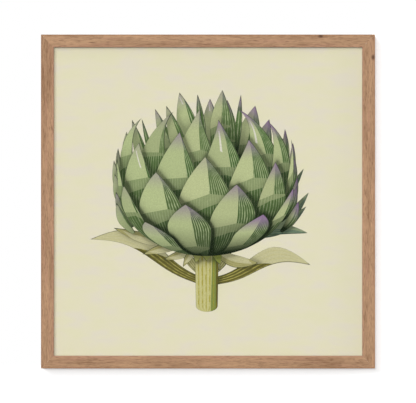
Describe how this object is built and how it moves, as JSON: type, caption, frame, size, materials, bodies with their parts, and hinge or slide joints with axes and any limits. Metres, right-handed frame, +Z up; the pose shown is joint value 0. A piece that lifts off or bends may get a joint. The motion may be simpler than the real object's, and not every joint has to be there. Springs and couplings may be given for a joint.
{
  "type": "framed print",
  "caption": "Square wall picture: a narrow mitred oak frame around clear glazing, a printed botanical drawing and a backboard, with a sawtooth hanger behind.",
  "frame": {"origin": "centre of the footprint, level with the frame's lower edge", "axes": "+X to the right and +Z up as seen from the front; -Y is the way the picture faces, +Y is towards the wall"},
  "size_m": [0.53, 0.028, 0.53],
  "materials": {
    "oak": "open-pored oak veneer look, matt oiled, grain along each rail",
    "glass": "clear 2 mm picture glass, faintly green at its edges",
    "art_paper": "matt cream art paper with a printed drawing",
    "fibreboard": "smooth-faced brown fibreboard",
    "spring_steel": "dark tempered strip",
    "zinc_steel": "bright zinc plate",
    "rubber": "matt moulded"
  },
  "bodies": {
    "root": {"frame_rail_top": "oak", "frame_rail_bottom": "oak", "frame_rail_left": "oak", "frame_rail_right": "oak", "glazing": "glass", "art_print": "art_paper", "backboard": "fibreboard", "flexi_tab_top_1": "spring_steel", "flexi_tab_top_2": "spring_steel", "flexi_tab_top_3": "spring_steel", "flexi_tab_bottom_1": "spring_steel", "flexi_tab_bottom_2": "spring_steel", "flexi_tab_bottom_3": "spring_steel", "flexi_tab_left_1": "spring_steel", "flexi_tab_left_2": "spring_steel", "flexi_tab_left_3": "spring_steel", "flexi_tab_right_1": "spring_steel", "flexi_tab_right_2": "spring_steel", "flexi_tab_right_3": "spring_steel", "v_nail_bottom_left": "zinc_steel", "v_nail_bottom_right": "zinc_steel", "v_nail_top_left": "zinc_steel", "v_nail_top_right": "zinc_steel", "sawtooth_hanger": "zinc_steel", "hanger_screw_left": "zinc_steel", "hanger_screw_right": "zinc_steel", "bumper_left": "rubber", "bumper_right": "rubber"}
  },
  "joints": []
}
